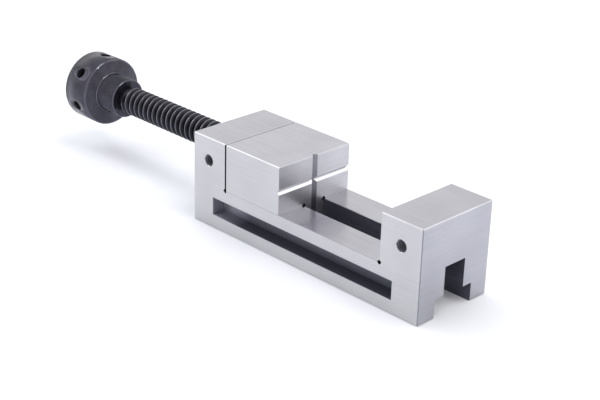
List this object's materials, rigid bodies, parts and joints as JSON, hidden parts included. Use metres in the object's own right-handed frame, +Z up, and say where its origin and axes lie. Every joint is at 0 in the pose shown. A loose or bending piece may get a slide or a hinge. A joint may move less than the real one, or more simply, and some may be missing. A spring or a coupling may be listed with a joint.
{
  "type": "precision grinding vise",
  "caption": "Small ground steel vise with a moving jaw guided in a stepped slot, drawn by a screw spindle with a round knob, and a grooved jaw face.",
  "frame": {"origin": "in the plane of the ground base, under the middle of the whole length, midway between the two sides", "axes": "+X from the knob towards the fixed jaw, +Y towards the far side, +Z up from the base"},
  "size_m": [0.2788, 0.05, 0.0569],
  "materials": {
    "ground_body_steel": "fine ground, hardened",
    "ground_jaw_steel": "fine ground, hardened",
    "black_oxide_spindle": "black oxide on a cut thread",
    "black_oxide_knob": "black oxide on a turned surface",
    "turned_nut_steel": "turned",
    "black_screw_steel": "black oxide",
    "milled_plate_steel": "milled, unground",
    "spring_steel": "oiled spring steel",
    "hardened_pin_steel": "centreless ground"
  },
  "bodies": {
    "base": {"vise_body": "ground_body_steel", "spindle_nut": "turned_nut_steel", "nut_lock_screw": "black_screw_steel"},
    "jaw": {"moving_jaw": "ground_jaw_steel", "hold_down_plate": "milled_plate_steel", "hold_down_screw_rear": "black_screw_steel", "hold_down_screw_front": "black_screw_steel", "thrust_disc": "hardened_pin_steel", "nose_pin_near": "hardened_pin_steel", "nose_pin_far": "hardened_pin_steel"},
    "spindle": {"spindle": "black_oxide_spindle", "handle_knob": "black_oxide_knob", "knob_pin": "spring_steel"}
  },
  "joints": [
    {"name": "jaw_slide", "type": "slide", "parent": "base", "child": "jaw", "axis": [1, 0, 0], "range_m": [-0.0005, 0.0682]},
    {"name": "spindle_turn", "type": "hinge", "parent": "jaw", "child": "spindle", "pos_m": [0.0065, 0, 0.0373], "axis": [1, 0, 0], "range_deg": [-45, 6138]}
  ],
  "couplings": [
    {"joint": "spindle_turn", "follows": "jaw_slide", "rad_per_m": 1570.8}
  ]
}
